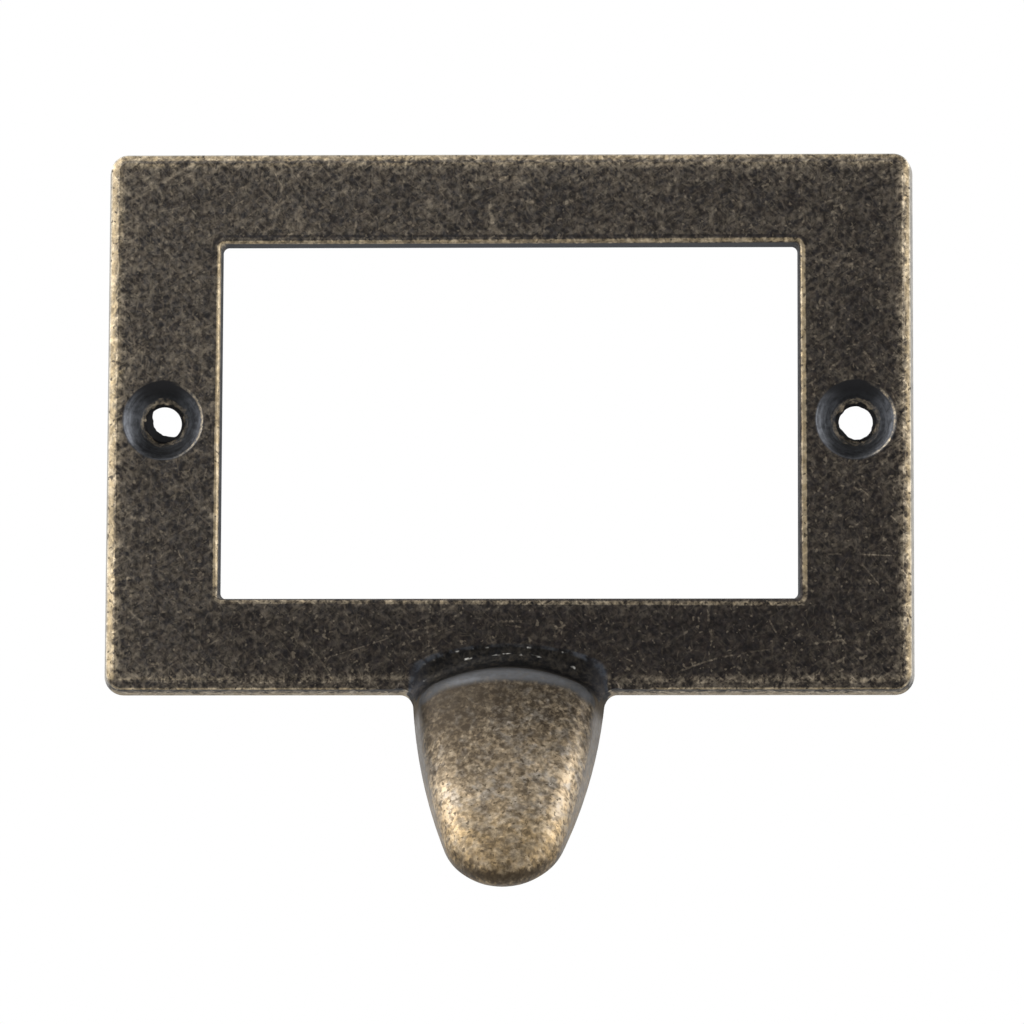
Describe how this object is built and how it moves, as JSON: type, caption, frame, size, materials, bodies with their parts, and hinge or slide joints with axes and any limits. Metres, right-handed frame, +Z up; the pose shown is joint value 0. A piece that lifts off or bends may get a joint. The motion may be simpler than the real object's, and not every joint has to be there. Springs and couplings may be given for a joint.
{
  "type": "label frame pull",
  "caption": "Cast drawer plate that frames a card behind a rectangular window, with a countersunk screw hole at each side and a hollow-backed finger tongue curving out below it.",
  "frame": {"origin": "midway between the two screw holes, on the back plane that lies on the drawer front", "axes": "+X to the right along the row of screw holes, front towards -Y, +Z up; the tongue hangs towards -Z"},
  "size_m": [0.07, 0.0173, 0.0659],
  "materials": {
    "antique_brass": "antique brass plate on a casting, oxidised dark and tumbled, so that edges and scratches show gold"
  },
  "bodies": {
    "root": {"label_frame_pull": "antique_brass"}
  },
  "joints": []
}
